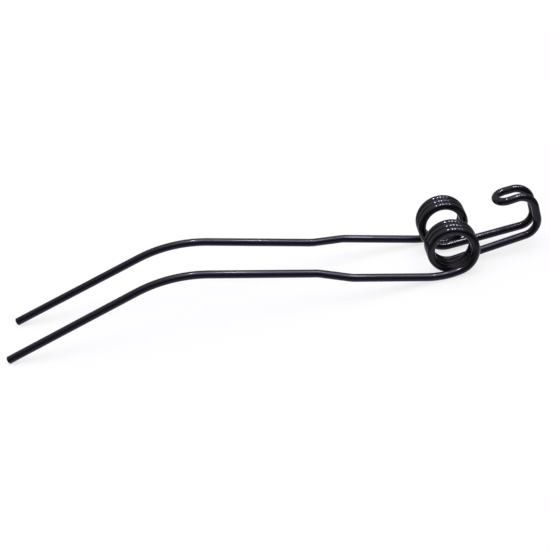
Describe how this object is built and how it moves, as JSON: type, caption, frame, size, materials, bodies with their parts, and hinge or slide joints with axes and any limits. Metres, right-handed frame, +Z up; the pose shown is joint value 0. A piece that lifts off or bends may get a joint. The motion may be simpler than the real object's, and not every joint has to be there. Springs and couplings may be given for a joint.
{
  "type": "rotary rake tine",
  "caption": "Coil spring tine for a rotary hay rake, bent from round steel wire, with a clamp loop, side-by-side coils and long joggled arms that end in angled tips.",
  "frame": {"origin": "on the floor, under the middle of the tine's length and in its middle plane", "axes": "+X from the tips towards the clamp loop, +Y across the tine along the coils' axis, +Z up from the floor that the coils and both tip ends lie on"},
  "size_m": [0.6531, 0.107, 0.0727],
  "materials": {
    "black_spring_steel": "glossy black lacquer over drawn spring steel wire"
  },
  "bodies": {
    "root": {"rake_tine": "black_spring_steel"}
  },
  "joints": []
}
